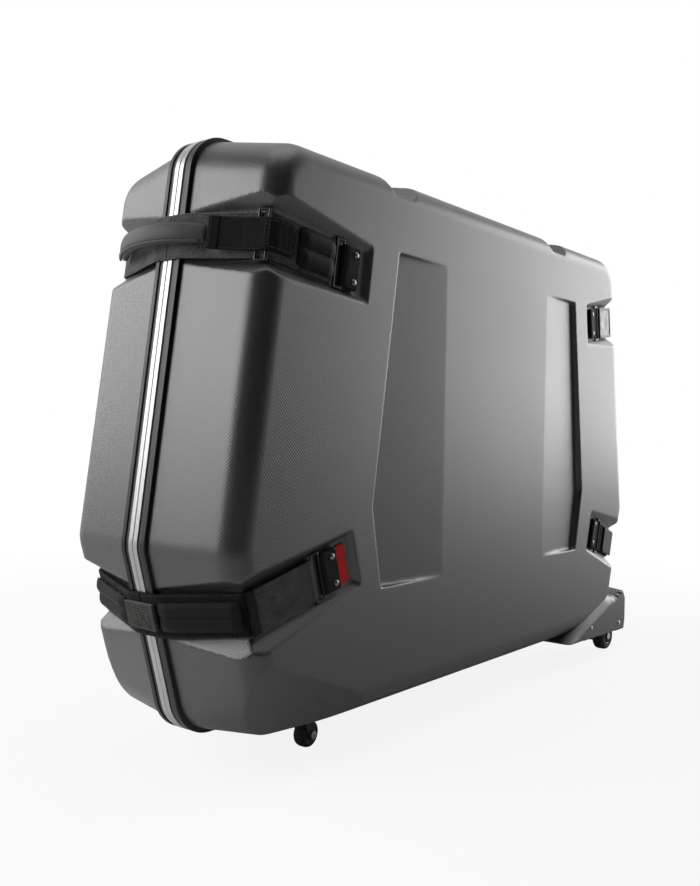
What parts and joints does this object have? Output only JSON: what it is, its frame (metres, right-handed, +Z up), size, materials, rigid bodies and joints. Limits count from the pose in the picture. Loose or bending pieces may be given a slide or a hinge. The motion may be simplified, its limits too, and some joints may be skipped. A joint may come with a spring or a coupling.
{
  "type": "bike travel case",
  "caption": "Hard bicycle travel case of mirrored half shells meeting in a metal frame, closed by wrap-round straps, on swivel casters and rear wheels.",
  "frame": {"origin": "centre of the case's footprint on the floor", "axes": "+X along the case towards the rear wheels, +Y towards the left half, +Z up"},
  "size_m": [1.23, 0.329, 0.8626],
  "materials": {
    "shell": "satin charcoal with a fine twill grain",
    "frame": "bright extruded",
    "strip": "matt black",
    "anchor": "black riveted strip",
    "rivet": "black rivet heads",
    "wire": "dark round wire",
    "webbing": "black webbing",
    "ribbed_webbing": "grey-black ribbed webbing",
    "pad": "stuffed black fabric",
    "roll": "stuffed black grained cover",
    "tag": "plain red",
    "window": "clear-fronted card holder",
    "badge": "black, bare",
    "caster_metal": "dark zinc",
    "bolt": "bright",
    "hub": "grey",
    "wheel_tyre": "black, hard",
    "housing": "satin dark grey",
    "foam": "dark foam sheet"
  },
  "bodies": {
    "right_half": {"right_shell": "shell", "right_frame": "frame", "right_frame_trim": "strip", "right_seal": "strip", "right_anchors": "anchor", "right_rivets": "rivet", "upper_band_right": "webbing", "upper_handle": "roll", "upper_corner_ring": "wire", "lower_band_right": "webbing", "lower_pad_right": "pad", "lower_tab": "ribbed_webbing", "lower_tag": "tag", "right_caster_plate": "caster_metal", "right_wheel_housing": "housing", "right_wheel_axle": "bolt", "right_bolts": "bolt", "right_foam": "foam", "tie_straps": "ribbed_webbing"},
    "left_half": {"left_shell": "shell", "left_frame": "frame", "left_frame_trim": "strip", "left_seal": "strip", "left_anchors": "anchor", "left_rivets": "rivet", "upper_band_left": "webbing", "lower_band_left": "webbing", "lower_pad_left": "pad", "left_closing_bands": "webbing", "left_caster_plate": "caster_metal", "left_wheel_housing": "housing", "left_wheel_axle": "bolt", "left_bolts": "bolt", "left_foam": "foam"},
    "right_caster": {"right_caster_fork": "caster_metal", "right_caster_axle": "bolt"},
    "right_caster_wheel": {"right_caster_hub": "hub", "right_caster_tyre": "wheel_tyre"},
    "right_wheel": {"right_wheel_hub": "hub", "right_wheel_tyre": "wheel_tyre"},
    "left_caster": {"left_caster_fork": "caster_metal", "left_caster_axle": "bolt"},
    "left_caster_wheel": {"left_caster_hub": "hub", "left_caster_tyre": "wheel_tyre"},
    "left_wheel": {"left_wheel_hub": "hub", "left_wheel_tyre": "wheel_tyre"},
    "lower_strap_tail": {"lower_tail": "ribbed_webbing", "lower_ring": "wire"},
    "upper_strap_patch": {"upper_side_pad": "pad", "upper_ring": "wire"},
    "upper_strap_wrap": {"upper_wrap": "webbing"},
    "rear_upper_strap": {"rear_upper_tail": "ribbed_webbing", "rear_upper_ring": "wire", "rear_upper_window": "window"},
    "rear_lower_strap": {"rear_lower_tail": "ribbed_webbing", "rear_lower_ring": "wire", "rear_lower_plate": "badge"},
    "top_front_strap": {"top_front_tail": "ribbed_webbing"},
    "top_rear_strap": {"top_rear_tail": "ribbed_webbing"}
  },
  "joints": [
    {"name": "left_half_opens", "type": "slide", "parent": "right_half", "child": "left_half", "axis": [0, 1, 0], "range_m": [0, 0.35], "deforming": ["upper_handle"]},
    {"name": "right_caster_swivel", "type": "hinge", "parent": "right_half", "child": "right_caster", "pos_m": [-0.362, -0.062, 0.055], "axis": [0, 0, 1], "continuous": true},
    {"name": "right_caster_roll", "type": "hinge", "parent": "right_caster", "child": "right_caster_wheel", "pos_m": [-0.343, -0.062, 0.02], "axis": [0, 1, 0], "continuous": true},
    {"name": "right_wheel_roll", "type": "hinge", "parent": "right_half", "child": "right_wheel", "pos_m": [0.566, -0.128, 0.029], "axis": [0, 1, 0], "continuous": true},
    {"name": "left_caster_swivel", "type": "hinge", "parent": "left_half", "child": "left_caster", "pos_m": [-0.362, 0.062, 0.055], "axis": [0, 0, 1], "continuous": true},
    {"name": "left_caster_roll", "type": "hinge", "parent": "left_caster", "child": "left_caster_wheel", "pos_m": [-0.343, 0.062, 0.02], "axis": [0, 1, 0], "continuous": true},
    {"name": "left_wheel_roll", "type": "hinge", "parent": "left_half", "child": "left_wheel", "pos_m": [0.566, 0.128, 0.029], "axis": [0, 1, 0], "continuous": true},
    {"name": "lower_strap_tail_peels", "type": "hinge", "parent": "right_half", "child": "lower_strap_tail", "pos_m": [-0.42268, -0.15218, 0.26818], "axis": [-0.2688, 0, 0.9632], "range_deg": [0, 110]},
    {"name": "upper_strap_patch_peels", "type": "hinge", "parent": "right_half", "child": "upper_strap_patch", "pos_m": [-0.39103, -0.15274, 0.68671], "axis": [0.1358, 0, 0.9907], "range_deg": [0, 100]},
    {"name": "upper_strap_wrap_peels", "type": "hinge", "parent": "right_half", "child": "upper_strap_wrap", "pos_m": [-0.56274, -0.067, 0.71025], "axis": [-0.1358, 0, -0.9907], "range_deg": [0, 100]},
    {"name": "rear_upper_strap_peels", "type": "hinge", "parent": "right_half", "child": "rear_upper_strap", "pos_m": [0.43874, -0.15152, 0.69325], "axis": [0.1358, 0, -0.9907], "range_deg": [0, 100]},
    {"name": "rear_lower_strap_peels", "type": "hinge", "parent": "right_half", "child": "rear_lower_strap", "pos_m": [0.46524, -0.15178, 0.2563], "axis": [-0.2688, 0, -0.9632], "range_deg": [0, 100]},
    {"name": "top_front_strap_peels", "type": "hinge", "parent": "right_half", "child": "top_front_strap", "pos_m": [-0.253, -0.095, 0.83023], "axis": [1, 0, 0], "range_deg": [0, 120]},
    {"name": "top_rear_strap_peels", "type": "hinge", "parent": "right_half", "child": "top_rear_strap", "pos_m": [0.253, -0.095, 0.83023], "axis": [1, 0, 0], "range_deg": [0, 120]}
  ]
}
